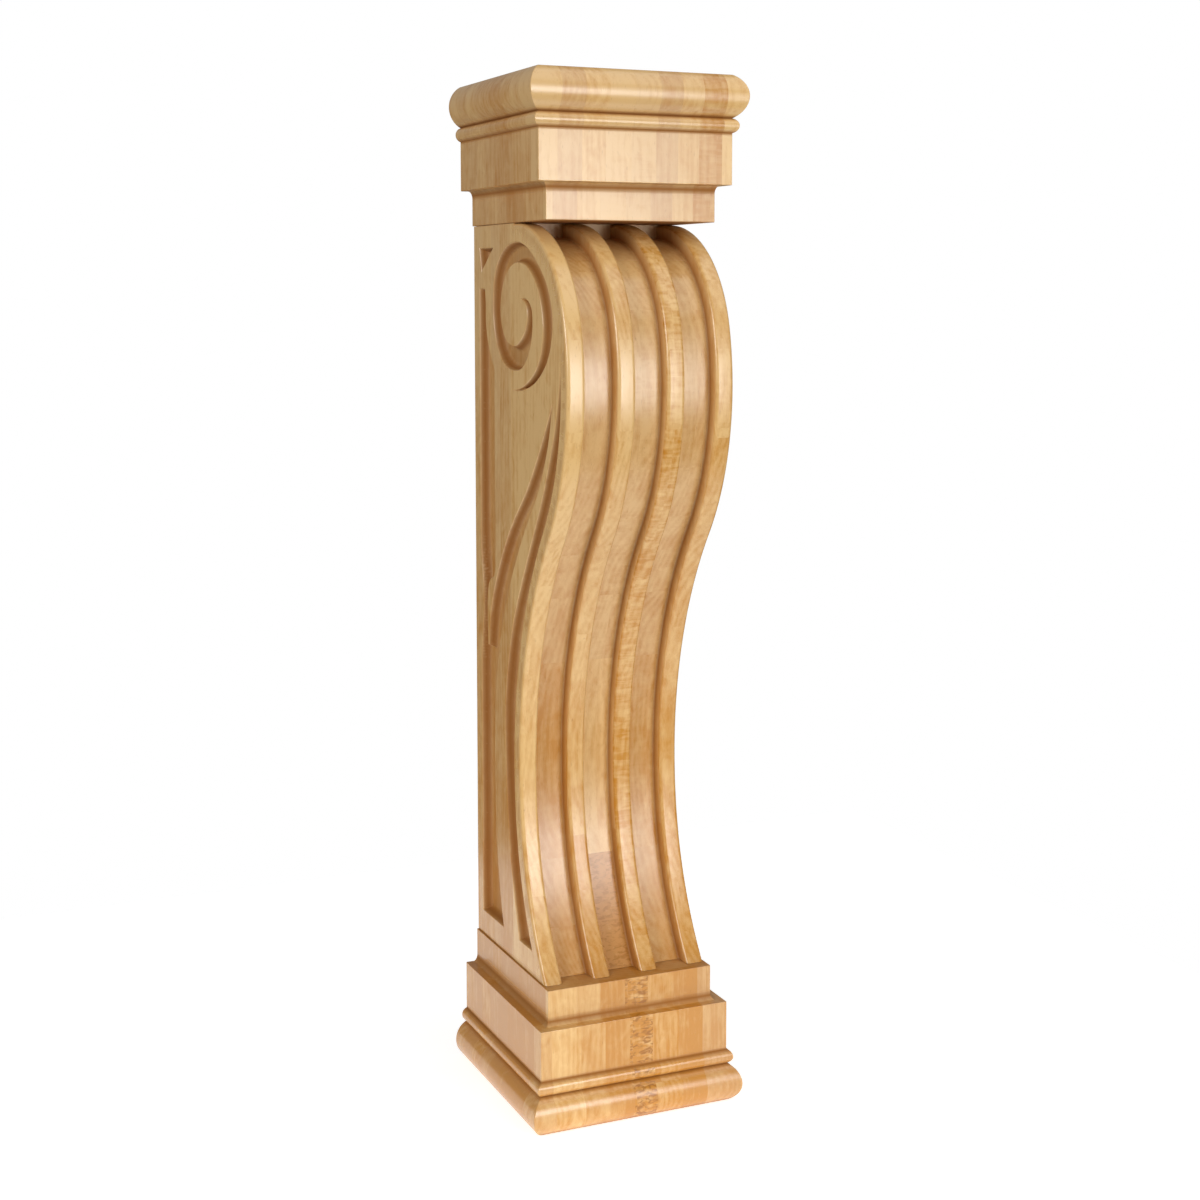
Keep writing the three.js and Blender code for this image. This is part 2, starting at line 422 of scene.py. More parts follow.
def carving_outlines():
    """Closed outlines of the four hollows in a side, in (distance forward, height)"""
    sizes = bpy.context.scene.corbel_sizes
    outline = scroll_path()
    foot = BODY_LOW.z + sizes.foot_rim
    shelf = BODY_HIGH.z - sizes.head_rim
    rim = sizes.rim_width
    rise = BODY_HIGH.z - BODY_LOW.z

    corner = joined(np.array([(rim, shelf)]), carved(CORNER_SWEEP, outline))

    along = np.linspace(-1, 1, PINCH_STEPS + 1)
    pinch = np.column_stack(
        (
            rim + PINCH_SWELL * (1 + np.cos(math.pi * along)) / 2,
            BODY_LOW.z + (PINCH_MIDDLE + along * PINCH_REACH) / 100 * rise,
        )
    )
    band = carved(BAND_SIDE, outline)
    leaf_back = carved(LEAF_BACK, outline)
    back = joined(
        np.array([(rim, foot)]),
        pinch,
        np.array([(rim, band[0, 1])]),
        band,
        carved(PANEL_TIP, outline),
        carved(PANEL_FRONT, outline),
        leaf_back,
        np.array([(leaf_back[-1, 0], foot)]),
    )

    run = np.gradient(outline, axis=0)
    run /= np.linalg.norm(run, axis=1)[:, None]
    inner_rim = outline - rim * np.column_stack((-run[:, 1], run[:, 0]))
    leaf_front = carved(LEAF_FRONT, outline)
    keep = (inner_rim[:, 1] > foot) & (inner_rim[:, 1] < leaf_front[0, 1] - rim / 2)
    foot_place = (np.interp(foot, inner_rim[::-1, 1], inner_rim[::-1, 0]), foot)
    front = joined(
        leaf_front[leaf_front[:, 1] > foot],
        np.array([(leaf_front[-1, 0], foot)]),
        np.array([foot_place]),
        even_steps(np.vstack((foot_place, inner_rim[keep][::-1])), CARVING_STEP),
    )

    spiral = joined(carved(SPIRAL_OUTER, outline), carved(SPIRAL_INNER, outline))
    return [corner, back, front, spiral]


def distance_to(outlines, points):
    """Distance of each point from the nearest outline"""
    starts = np.vstack(outlines)
    spans = np.vstack([np.roll(line, -1, axis=0) - line for line in outlines])
    square = np.maximum((spans**2).sum(1), 1e-18)
    nearest = np.empty(len(points))
    for first in range(0, len(points), 1000):
        block = points[first : first + 1000, None, :] - starts[None]
        share = np.clip((block * spans).sum(2) / square, 0, 1)
        gap = block - share[..., None] * spans
        nearest[first : first + 1000] = np.sqrt((gap**2).sum(2).min(1))
    return nearest


def within(outline, points):
    """Which points lie inside a closed outline"""
    x, y = points.T
    inside = np.zeros(len(points), bool)
    for (ax, ay), (bx, by) in zip(outline, np.roll(outline, -1, axis=0)):
        crosses = (ay > y) != (by > y)
        inside ^= crosses & (x < ax + (bx - ax) * (y - ay) / (by - ay + (by == ay)))
    return inside


def hollow_depth(outlines, points):
    """Carved depth at each point of a side"""
    sizes = bpy.context.scene.corbel_sizes
    inside = np.any([within(line, points) for line in outlines], axis=0)
    fall = np.interp(distance_to(outlines, points), FALL_DISTANCE, FALL_SHARE)
    return np.where(inside, fall * sizes.carving_depth, 0.0)


def spread_out(points, gap, taken):
    """The points that keep a gap from each other and from those already taken"""
    kept = []
    cells = {}

    def near(place):
        """Whether a point lies within the gap of one already kept"""
        column, row = int(place[0] // gap), int(place[1] // gap)
        for i in (column - 1, column, column + 1):
            for j in (row - 1, row, row + 1):
                for other in cells.get((i, j), ()):
                    if math.hypot(other[0] - place[0], other[1] - place[1]) < gap:
                        return True
        return False

    for place in taken:
        cells.setdefault((int(place[0] // gap), int(place[1] // gap)), []).append(place)
    for place in points:
        if not near(place):
            cells.setdefault((int(place[0] // gap), int(place[1] // gap)), []).append(place)
            kept.append(place)
    return np.array(kept).reshape(-1, 2)


def hexagonal(low, high, step):
    """Points of a triangular lattice over a rectangle"""
    rows = np.arange(low[1], high[1], step * math.sqrt(3) / 2)
    points = [
        np.column_stack((np.arange(low[0] + (i % 2) * step / 2, high[0], step),) * 2)
        for i, _ in enumerate(rows)
    ]
    for line, row in zip(points, rows):
        line[:, 1] = row
    return np.vstack(points)


def carved_side(border):
    """Triangles of one side face, from its closed border: (distance, height), depth and faces"""
    outlines = carving_outlines()
    rows = []
    for line in outlines:
        run = np.roll(line, -1, axis=0) - np.roll(line, 1, axis=0)
        run /= np.maximum(np.linalg.norm(run, axis=1), 1e-12)[:, None]
        area = (line[:, 0] * np.roll(line[:, 1], -1) - np.roll(line[:, 0], -1) * line[:, 1]).sum()
        inward = np.column_stack((-run[:, 1], run[:, 0])) * np.sign(area)
        for distance in (-FLAT_MARGIN, *FALL_DISTANCE[1:]):
            row = line + inward * distance
            keep = distance_to(outlines, row) > abs(distance) * ROW_HOLD
            keep &= within(line, row) == (distance > 0)
            keep &= within(border, row)
            rows.append(row[keep])
    on_lines = np.vstack(outlines)
    rows = spread_out(np.vstack(rows), ROW_GAP, on_lines)

    low, high = border.min(0), border.max(0)
    fine = hexagonal(low, high, FINE_STEP)
    inside = np.any([within(line, fine) for line in outlines], axis=0)
    fine = fine[inside]
    fine = fine[distance_to(outlines, fine) < FALL_DISTANCE[-1]]
    fine = spread_out(fine, FINE_GAP, np.vstack((on_lines, rows)))
    coarse = hexagonal(low, high, COARSE_STEP)
    coarse = coarse[within(border, coarse) & (distance_to([border], coarse) > COARSE_GAP)]
    coarse = spread_out(coarse, COARSE_GAP, np.vstack((on_lines, rows, fine)))

    fixed = [border, *outlines]
    edges = []
    first = 0
    for line in fixed:
        count = len(line)
        edges += [(first + i, first + (i + 1) % count) for i in range(count)]
        first += count
    points = np.vstack((*fixed, rows, fine, coarse))
    flat = [Vector(p) for p in points / MM]
    found, _, faces, origins, _, _ = delaunay_2d_cdt(flat, edges, [], 1, TINY)
    places = np.array([tuple(v) for v in found]) * MM
    for i, sources in enumerate(origins):
        if sources:
            places[i] = points[sources[0]]
    return places, hollow_depth(outlines, places), faces


# Node trees


class Wiring:
    """Adds nodes and links to one node tree"""

    def __init__(self, tree):
        self.tree = tree

    def add(self, kind, inputs=(), **settings):
        """A new node, its sockets linked or set, and its settings"""
        node = self.tree.nodes.new(kind)
        for name, value in settings.items():
            setattr(node, name, value)
        for key, value in dict(inputs).items():
            if isinstance(value, bpy.types.NodeSocket):
                self.tree.links.new(value, node.inputs[key])
            else:
                node.inputs[key].default_value = value
        return node

    def math(self, operation, first, second=0.0, third=0.0, clamp=False):
        """Result of a Math node"""
        node = self.add(
            "ShaderNodeMath",
            {0: first, 1: second, 2: third},
            operation=operation,
            use_clamp=clamp,
        )
        return node.outputs[0]

    def pick(self, index, values):
        """One of several numbers by index"""
        node = self.tree.nodes.new("GeometryNodeIndexSwitch")
        node.data_type = "FLOAT"
        while len(node.index_switch_items) < len(values):
            node.index_switch_items.new()
        self.tree.links.new(index, node.inputs["Index"])
        for slot, value in zip(node.inputs[1:], values):
            if isinstance(value, bpy.types.NodeSocket):
                self.tree.links.new(value, slot)
            else:
                slot.default_value = value
        return node.outputs[0]


def new_tree(name, inputs):
    """Geometry Nodes tree with named inputs, and its group input and output nodes"""
    tree = bpy.data.node_groups.new(name, "GeometryNodeTree")
    tree.interface.new_socket("Line", in_out="INPUT", socket_type="NodeSocketGeometry")
    for label, kind in inputs:
        tree.interface.new_socket(label, in_out="INPUT", socket_type="NodeSocket" + kind)
    tree.interface.new_socket("Wood", in_out="INPUT", socket_type="NodeSocketMaterial")
    tree.interface.new_socket("Piece", in_out="OUTPUT", socket_type="NodeSocketGeometry")
    wiring = Wiring(tree)
    given = wiring.add("NodeGroupInput").outputs
    return tree, wiring, given


def finish_tree(wiring, given, geometry):
    """Close a tree with its realized and painted result"""
    real = wiring.add("GeometryNodeRealizeInstances", {"Geometry": geometry})
    painted = wiring.add(
        "GeometryNodeSetMaterial",
        {"Geometry": real.outputs[0], "Material": given["Wood"]},
    )
    wiring.add("NodeGroupOutput", {"Piece": painted.outputs[0]})


def moulding_tree():
    """Wraps a profile of (out, 0, height) round the left, front and right of a block"""
    tree, wiring, given = new_tree(
        "moulding_wrap",
        (("Half Width", "Float"), ("Depth", "Float"), ("Back", "Float")),
    )
    size = wiring.add("GeometryNodeAttributeDomainSize", {"Geometry": given["Line"]})
    count = size.outputs["Point Count"]
    corners = 5
    grid = wiring.add(
        "GeometryNodeMeshGrid",
        {
            "Size X": corners - 1,
            "Size Y": wiring.math("SUBTRACT", count, 1),
            "Vertices X": corners,
            "Vertices Y": count,
        },
    )
    place = wiring.add("GeometryNodeInputPosition")
    split = wiring.add("ShaderNodeSeparateXYZ", {0: place.outputs[0]})
    corner = wiring.math("ROUND", wiring.math("ADD", split.outputs[0], (corners - 1) / 2))
    half_rows = wiring.math("MULTIPLY", wiring.math("SUBTRACT", count, 1), 0.5)
    row = wiring.math("ROUND", wiring.math("ADD", split.outputs[1], half_rows))
    profile_place = wiring.add("GeometryNodeInputPosition")
    sample = wiring.add(
        "GeometryNodeSampleIndex",
        {"Geometry": given["Line"], "Value": profile_place.outputs[0], "Index": row},
        data_type="FLOAT_VECTOR",
    )
    profile = wiring.add("ShaderNodeSeparateXYZ", {0: sample.outputs[0]})
    out, height = profile.outputs[0], profile.outputs[2]
    side = wiring.pick(corner, (-1.0, -1.0, 1.0, 1.0, -1.0))
    forward = wiring.pick(corner, (0.0, 1.0, 1.0, 0.0, 0.0))
    across = wiring.math("MULTIPLY", side, wiring.math("ADD", given["Half Width"], out))
    reach = wiring.math("MULTIPLY", forward, wiring.math("ADD", given["Depth"], out))
    moved = wiring.add(
        "ShaderNodeCombineXYZ",
        {0: across, 1: wiring.math("SUBTRACT", given["Back"], reach), 2: height},
    )
    wrapped = wiring.add(
        "GeometryNodeSetPosition",
        {"Geometry": grid.outputs[0], "Position": moved.outputs[0]},
    )
    merged = wiring.add(
        "GeometryNodeMergeByDistance",
        {"Geometry": wrapped.outputs[0], "Distance": TOUCH},
    )
    finish_tree(wiring, given, merged.outputs[0])
    return tree


def reeding_tree():
    """Repeats a channel across the front and sweeps the whole section down a path"""
    tree, wiring, given = new_tree(
        "reeded_front",
        (
            ("Channels", "Int"),
            ("Channel Width", "Float"),
            ("Ridge Width", "Float"),
            ("Channel Depth", "Float"),
            ("Ridge Round", "Float"),
            ("Channel Cove", "Float"),
        ),
    )
    half_channel = wiring.math("MULTIPLY", given["Channel Width"], 0.5)
    half_ridge = wiring.math("MULTIPLY", given["Ridge Width"], 0.5)
    half_pitch = wiring.math("ADD", half_channel, half_ridge)
    pitch = wiring.math("MULTIPLY", half_pitch, 2.0)
    depth = given["Channel Depth"]

    def section(across, inward):
        """Filleted polyline of the section, in (across, inward)"""
        line = wiring.add("GeometryNodeMeshLine", {"Count": len(across)})
        index = wiring.add("GeometryNodeInputIndex").outputs[0]
        place = wiring.add(
            "ShaderNodeCombineXYZ",
            {0: wiring.pick(index, across), 1: wiring.pick(index, inward)},
        )
        placed = wiring.add(
            "GeometryNodeSetPosition",
            {"Geometry": line.outputs[0], "Position": place.outputs[0]},
        )
        curve = wiring.add("GeometryNodeMeshToCurve", {"Mesh": placed.outputs[0]})
        here = wiring.add("GeometryNodeInputPosition")
        inward_here = wiring.add("ShaderNodeSeparateXYZ", {0: here.outputs[0]}).outputs[1]
        floor_level = wiring.math("MULTIPLY", depth, FLOOR_SHARE)
        is_floor = wiring.math("GREATER_THAN", inward_here, floor_level)
        floor_extra = wiring.math("SUBTRACT", given["Channel Cove"], given["Ridge Round"])
        radius = wiring.math("MULTIPLY_ADD", is_floor, floor_extra, given["Ridge Round"])
        return wiring.add(
            "GeometryNodeFilletCurve",
            {
                "Curve": curve.outputs[0],
                "Radius": radius,
                "Count": ROUND_FACETS,
                "Limit Radius": True,
            },
            mode="POLY",
        ).outputs[0]

    minus_pitch = wiring.math("MULTIPLY", half_pitch, -1.0)
    minus_channel = wiring.math("MULTIPLY", half_channel, -1.0)
    channel = section(
        (minus_pitch, minus_channel, minus_channel, half_channel, half_channel, half_pitch),
        (0.0, 0.0, depth, depth, 0.0, 0.0),
    )
    steps = wiring.math("SUBTRACT", given["Channels"], 1)
    first = wiring.math("MULTIPLY", wiring.math("MULTIPLY", steps, pitch), -0.5)
    start = wiring.add("ShaderNodeCombineXYZ", {0: first})
    step = wiring.add("ShaderNodeCombineXYZ", {0: pitch})
    places = wiring.add(
        "GeometryNodeMeshLine",
        {
            "Count": given["Channels"],
            "Start Location": start.outputs[0],
            "Offset": step.outputs[0],
        },
    )
    channels = wiring.add(
        "GeometryNodeInstanceOnPoints",
        {"Points": places.outputs[0], "Instance": channel},
    )
    edge_depth = wiring.math("MULTIPLY", given["Ridge Round"], EDGE_ROUNDINGS)
    outer = wiring.math("MULTIPLY", wiring.math("MULTIPLY", given["Channels"], pitch), 0.5)
    face = wiring.math("ADD", outer, half_ridge)
    right = section((outer, face, face), (0.0, 0.0, edge_depth))
    left = wiring.add("GeometryNodeTransform", {"Geometry": right, "Scale": (-1.0, 1.0, 1.0)})
    whole = wiring.add("GeometryNodeJoinGeometry")
    for part in (left.outputs[0], channels.outputs[0], right):
        wiring.tree.links.new(part, whole.inputs[0])
    profile = wiring.add("GeometryNodeRealizeInstances", {"Geometry": whole.outputs[0]})
    path = wiring.add("GeometryNodeMeshToCurve", {"Mesh": given["Line"]})
    swept = wiring.add(
        "GeometryNodeCurveToMesh",
        {"Curve": path.outputs[0], "Profile Curve": profile.outputs[0]},
    )
    merged = wiring.add(
        "GeometryNodeMergeByDistance",
        {"Geometry": swept.outputs[0], "Distance": TOUCH},
    )
    finish_tree(wiring, given, merged.outputs[0])
    return tree


def grown(name, tree, line, values):
    """Plain mesh that a tree grows from a line of points"""
    mesh = bpy.data.meshes.new(name)
    mesh.from_pydata([tuple(p) for p in line], [(i, i + 1) for i in range(len(line) - 1)], [])
    seed = bpy.data.objects.new(name, mesh)
    bpy.context.scene.collection.objects.link(seed)
    modifier = seed.modifiers.new(tree.name, "NODES")
    modifier.node_group = tree
    for item in tree.interface.items_tree:
        if item.in_out == "INPUT" and item.name in values:
            modifier[item.identifier] = values[item.name]
    depsgraph = bpy.context.evaluated_depsgraph_get()
    result = bpy.data.meshes.new_from_object(seed.evaluated_get(depsgraph))
    result.name = name
    seed.modifiers.remove(modifier)
    bpy.data.objects.remove(seed)
    bpy.data.meshes.remove(mesh)
    if not result.polygons:
        raise RuntimeError("the tree " + tree.name + " made no faces")
    return result


def sharpen(bm):
    """Smooth shading, broken at the sharp edges"""
    limit = math.radians(SHARP_ANGLE)
    for face in bm.faces:
        face.smooth = True
    for edge in bm.edges:
        edge.smooth = len(edge.link_faces) == 2 and edge.calc_face_angle(math.pi) < limit


def finished(name, bm, material, node):
    """Closed piece that stands for a node of the frame"""
    if any(len(edge.link_faces) != 2 for edge in bm.edges):
        raise RuntimeError(name + " has an open or a doubled edge")
    mesh = bpy.data.meshes.new(name)
    bm.to_mesh(mesh)
    bm.free()
    mesh.materials.append(material)
    piece = bpy.data.objects.new(name, mesh)
    bpy.context.scene.collection.objects.link(piece)
    weighted = piece.modifiers.new("weighted_normals", "WEIGHTED_NORMAL")
    weighted.keep_sharp = True
    depsgraph = bpy.context.evaluated_depsgraph_get()
    piece.data = bpy.data.meshes.new_from_object(piece.evaluated_get(depsgraph))
    piece.modifiers.clear()
    bpy.data.meshes.remove(mesh)
    piece.data.name = name
    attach(piece, "root")
    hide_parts(node)
    return piece


def swelling(low, height, swell, facets):
    """Profile of a rounded moulding between two heights, as (out, height)"""
    radius = ((height / 2) ** 2 + swell**2) / (2 * swell)
    spread = math.asin(height / 2 / radius)
    angles = np.linspace(-spread, spread, facets + 1)
    return [
        (swell - radius * (1 - math.cos(a)), low + height / 2 + radius * math.sin(a))
        for a in angles
    ]


def block_profile(bullnose, whole_height):
    """Moulding of a block from its outer end to the body, as (out, height)"""
    sizes = bpy.context.scene.corbel_sizes
    line = swelling(0, bullnose, sizes.bullnose_swell, BULLNOSE_FACETS)[:-1]
    line += swelling(bullnose, sizes.bead_height, sizes.bead_swell, BEAD_FACETS)
    lip = bullnose + sizes.band_end
    line.append((0.0, lip))
    for angle in np.linspace(0, math.pi / 2, COVE_FACETS + 1):
        out = sizes.cove_width * (1 - math.sin(angle)) - sizes.neck_inset
        line.append((out, lip + sizes.cove_height * (1 - math.cos(angle))))
    line.append((-sizes.neck_inset, whole_height))
    return line


def moulded_block(name, node, bullnose, turned, wood):
    """One moulded block with true mitres and lightly sanded arrises"""
    sizes = bpy.context.scene.corbel_sizes
    low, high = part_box(node)
    line = [(out, 0.0, height) for out, height in block_profile(bullnose, high.z - low.z)]
    if turned:
        line = [(out, 0.0, high.z - height) for out, _, height in line]
    mesh = grown(
        name + "_wrap",
        moulding_tree(),
        line,
        {
            "Half Width": (high.x - low.x) / 2 - sizes.bullnose_swell,
            "Depth": high.y - low.y - sizes.bullnose_swell,
            "Back": high.y,
            "Wood": wood,
        },
    )
    bm = bmesh.new()
    bm.from_mesh(mesh)
    bpy.data.meshes.remove(mesh)
    bmesh.ops.holes_fill(bm, edges=[e for e in bm.edges if e.is_boundary], sides=0)
    bmesh.ops.recalc_face_normals(bm, faces=bm.faces)
    corners = [
        e
        for e in bm.edges
        if e.is_manifold and e.is_convex and e.calc_face_angle() > math.radians(ARRIS_ANGLE)
    ]
    bmesh.ops.bevel(
        bm,
        geom=corners,
        offset=sizes.arris,
        offset_type="OFFSET",
        segments=2,
        profile=0.5,
        affect="EDGES",
        clamp_overlap=True,
    )
    sharpen(bm)
    return finished(name, bm, wood, node)


def along_edges(verts, start):
    """Vertices in order along the edges that join them"""
    left = set(verts)
    order = [start]
    left.discard(start)
    while True:
        step = [e.other_vert(order[-1]) for e in order[-1].link_edges]
        step = [v for v in step if v in left]
        if not step:
            return order
        order.append(step[0])
        left.discard(step[0])


def cut_off(bm, place, normal, near):
    """Cut the mesh by a plane near one end, and drop what lies beyond it"""
    faces = [f for f in bm.faces if near(f.calc_center_median())]
    verts = dict.fromkeys(v for f in faces for v in f.verts)
    edges = dict.fromkeys(e for f in faces for e in f.edges)
    bmesh.ops.bisect_plane(
        bm,
        geom=[*verts, *edges, *faces],
        dist=TOUCH,
        plane_co=place,
        plane_no=normal,
        clear_outer=True,
    )


def reeded_skin(wood, top_front):
    """Open skin of the reeded front, cut at the top and bottom, with the painted shade of its
    grooves
    """
    sizes = bpy.context.scene.corbel_sizes
    pitch = (2 * HALF_BODY - sizes.ridge_width) / sizes.channels
    path = [(0.0, BACK - d, z) for d, z in scroll_path(PATH_OVERRUN)]
    mesh = grown(
        "reeded_front",
        reeding_tree(),
        path,
        {
            "Channels": sizes.channels,
            "Channel Width": pitch - sizes.ridge_width,
            "Ridge Width": sizes.ridge_width,
            "Channel Depth": sizes.channel_depth,
            "Ridge Round": sizes.ridge_round,
            "Channel Cove": sizes.channel_cove,
            "Wood": wood,
        },
    )
    bm = bmesh.new()
    bm.from_mesh(mesh)
    bpy.data.meshes.remove(mesh)
    crevice_shade = bm.verts.layers.float.new("crevice_shade")
    outline = np.array(path)[:, 1:]
    places = np.array([v.co.yz for v in bm.verts])
    sunk = distance_to([np.vstack((outline, outline[::-1]))], places) / sizes.channel_depth
    # Painted shade on the channels' walls, deeper towards their floors
    for v, share in zip(bm.verts, sunk):
        v[crevice_shade] = np.interp(share, *WALL_SHADE_BY_DEPTH)

    cut_off(
        bm,
        (0, top_front, 0),
        (0, 1, 0),
        lambda c: c.z > BODY_HIGH.z - END_ZONE and c.y > top_front - CUT_MARGIN,
    )
    # Painted shade on the channels' end walls, which stand in the cap's shade
    for v in bm.verts:
        if v.co.z > BODY_HIGH.z - END_ZONE and v.co.y > top_front - END_WALL:
            v[crevice_shade] = END_WALL_SHADE
    cut_off(bm, (0, 0, BODY_LOW.z), (0, 0, -1), lambda c: c.z < BODY_LOW.z + END_ZONE)
    bm.verts.ensure_lookup_table()
    return bm, crevice_shade


def add_sides(bm, crevice_shade, top_front):
    """Fill both sides with their carved faces, and weld them to the skin"""
    sizes = bpy.context.scene.corbel_sizes
    top, bottom = BODY_HIGH.z, BODY_LOW.z

    def on_side(e):
        """Whether an open edge runs down the left side"""
        ends = [v.co for v in e.verts]
        if not e.is_boundary or any(abs(c.x + HALF_BODY) > SIDE_TOUCH for c in ends):
            return False
        at_top = all(abs(c.y - top_front) < TOUCH and c.z > top - END_ZONE for c in ends)
        return not at_top and not all(abs(c.z - bottom) < TOUCH for c in ends)

    edge = dict.fromkeys(v for e in bm.edges if on_side(e) for v in e.verts)
    border = [(BACK - v.co.y, v.co.z) for v in sorted(edge, key=lambda v: -v.co.z)]
    border = np.array([(0, top), (BACK - top_front, top), *border, (0, bottom)])
    places, depths, faces = carved_side(border)
    for side in (-1, 1):
        made = [
            bm.verts.new((side * (HALF_BODY - depth), BACK - place[0], place[1]))
            for place, depth in zip(places, depths)
        ]
        # Painted shade in the carving, strongest on its walls
        for v, depth in zip(made, depths):
            v[crevice_shade] = np.interp(depth / sizes.carving_depth, *SIDE_SHADE)
        for face in faces:
            bm.faces.new([made[i] for i in face])
    bmesh.ops.remove_doubles(bm, verts=bm.verts, dist=WELD)


def close_skin(bm, top_front):
    """Close the back, the top with the channels' end walls, and the foot"""
    top, bottom = BODY_HIGH.z, BODY_LOW.z

    def corners(y, z):
        """The left and right vertices nearest to a corner of the body"""
        ends = [Vector((side * HALF_BODY, y, z)) for side in (-1, 1)]
        return [min(bm.verts, key=lambda v: (v.co - end).length) for end in ends]

    back_top, back_foot = corners(BACK, top), corners(BACK, bottom)
    front_top = corners(top_front, top)
    bm.faces.new((back_top[0], back_top[1], back_foot[1], back_foot[0]))

    ends = [v for v in bm.verts if v.is_boundary and abs(v.co.y - top_front) < TOUCH]
    ends = [v for v in ends if v.co.z > top - END_ZONE]
    row = along_edges(ends, front_top[0])
    crest = [v for v in row if abs(v.co.z - top) < TOUCH]
    bm.faces.new((back_top[0], *crest, back_top[1]))
    for first, last in zip(crest, crest[1:]):
        a, b = row.index(first), row.index(last)
        if b - a > 1:
            bm.faces.new(row[a : b + 1])

    feet = [v for v in bm.verts if abs(v.co.z - bottom) < TOUCH and v.is_boundary]
    bm.faces.new(along_edges(feet, back_foot[0]))
    bmesh.ops.recalc_face_normals(bm, faces=bm.faces)


def scroll_body(wood):
    """Reeded scroll with carved sides, closed at the back, the top and the bottom"""
    top_front = BACK - scroll_path()[0, 0]
    bm, crevice_shade = reeded_skin(wood, top_front)
    add_sides(bm, crevice_shade, top_front)
    close_skin(bm, top_front)
    sharpen(bm)
    return finished("scroll_body_maple", bm, wood, "scroll_body")


# Wood


# The glued lattice: depth of a board, width of a hidden stave, how far the staves are staggered
# from board to board and in what rhythm, and the most tone, redness and figure of the hidden ones
BOARD = 21.8 * MM
STRIP = 26.0 * MM
STAGGER = 9 * MM
STAGGER_RHYTHM = 2.4
HIDDEN_LOOKS = (0.7, 0.5, 0.15)

# In mm: depth at which the staves of the front begin and half the width that they cover, on the
# blocks and on the body, width of the stave whose boards show on the left side, and its depth
BLOCK_STAVES = (174, 102)
BODY_STAVES = (92, 78)
SIDE_STAVE = 24
SIDE_DEPTH = 221

# Painted shade: the colour is deeper towards the foot, standing in for the brighter light and sheen
# higher up: tone added there, and lost again for each metre
FOOT_SHADE = 0.32
SHADE_FALL = 0.56

# Noises of the grain: size in mm along X, Y and Z, detail, roughness and distortion
GRAIN = {
    "drift": ((60, 60, 260), 1.0, 0.5, 0.0),
    "mottle": ((26, 26, 60), 2.0, 0.5, 0.0),
    "cloud": ((10, 10, 17), 2.0, 0.55, 0.8),
    "streak": ((3.4, 3.4, 90), 3.0, 0.6, 0.0),
    "fibre": ((0.5, 0.5, 9), 2.0, 0.5, 0.0),
    "speck": ((1.2, 1.2, 6.0), 1.0, 0.5, 0.0),
    "curl": ((26, 26, 4.0), 1.0, 0.5, 0.9),
    "fleck": ((6, 6, 2.6), 1.0, 0.5, 0.6),
}
GRAIN_SEED = (7.0, 5.0, 9.0)

# Growth rings: their width, how much of X and Y they cross, and how far they wander
RING_WIDTH = 5.5 * MM
RING_LEAN = (0.8, 0.6)
RING_DRIFT = 46 * MM

# How strongly the noises, the rings and the curl of a figured stave shade the tone
SHADING = (("mottle", 0.9), ("cloud", 1.0), ("streak", 0.6), ("fibre", 0.6))
RING_SHADE = 0.2
CURL_SHADE = 0.5
ROSE_SHARE = 0.8

# Gain and offset that turn a noise into curl, flecks and specks, and figure into flecked staves
CURL_GAIN = (3.2, -1.6)
FLECK_GAIN = (5.5, -2.6)
SPECK_GAIN = (2.0, -1.32)
FLECKED_GAIN = (10.0, -9.0)

# Share of the dark colour in a fleck and of the painted shade in a crease, roughness that a crease
# adds, strength of the lacquer's shine, and strength, depth and streaks of the open grain
FLECK_DARK = 0.85
CREASE_SHADE_SHARE = 0.95
CREASE_DULL = 0.6
SHINE = 0.75
GRAIN_BUMP = 0.25
GRAIN_DEPTH = 0.12 * MM
STREAK_RELIEF = 0.4

# Painted shade in the creases: reach of each one along the mouldings, place of the last one past
# the wide band, reach of the painted shadow under the cap, and height from the block and reach of
# those at the blocks' ends, painted shade at the joints with the body and a painted contact shadow
# at the base's foot
CREASE_SHADE_REACH = (2.5 * MM, 2.5 * MM, 4.5 * MM)
PAST_BAND = 4.0 * MM
CAP_SHADE = 35 * MM
BASE_JOINT_SHADE = (1.0 * MM, 2.0 * MM)
BASE_CONTACT_SHADOW = (-1.0 * MM, 7.0 * MM)
CAP_JOINT_SHADE = (-0.5 * MM, 1.5 * MM)

# Staves of the front of each block and of the body, from left to right: right-hand edge in mm,
# tone (0 pale to 1 tan), redness and figure. The body has others in the hollow of its waist, at
# its foot and where it swells out furthest
BASE_FRONT = (
    (-81, 0.32, 0.2, 0.0), (-53, 0.06, 0.0, 0.0), (-30, 0.32, 0.1, 0.0), (-6, 0.6, 0.1, 0.0),
    (16, 0.6, 0.0, 1.0), (42, 0.46, 0.0, 0.1), (52, 0.66, 0.1, 0.0), (66, 0.86, 0.1, 0.1),
    (102, 0.48, 0.4, 0.0),
)
CAP_FRONT = (
    (-74, 0.13, 0.2, 0.0), (-51, 0.56, 0.4, 0.0), (-30, 0.36, 0.1, 0.0), (-6, 0.18, 0.2, 0.15),
    (17, 0.16, 0.3, 0.3), (38, 0.54, 0.5, 0.1), (58, 0.34, 0.2, 0.1), (80, 0.84, 0.2, 0.7),
    (102, 0.26, 0.0, 0.0),
)
BODY_FRONT = (
    (-60.7, 0.08, 0.0, 0.0), (-31.5, 0.36, 0.25, 0.0), (-14.6, 0.3, 0.1, 0.0),
    (14.6, 0.2, 0.2, 0.3), (31.5, 0.5, 0.0, 0.9), (60.7, 0.3, 0.2, 0.2), (78, 0.45, 0.0, 0.1),
)
BODY_INNER = (
    (-60.7, 0.12, 0.0, 0.0), (-31.5, 0.62, 0.15, 0.1), (-14.6, 0.55, 0.1, 0.0),
    (14.6, 0.06, 0.0, 0.0), (31.5, 0.55, 0.0, 0.9), (60.7, 0.46, 0.1, 0.2), (78, 0.6, 0.0, 0.1),
)
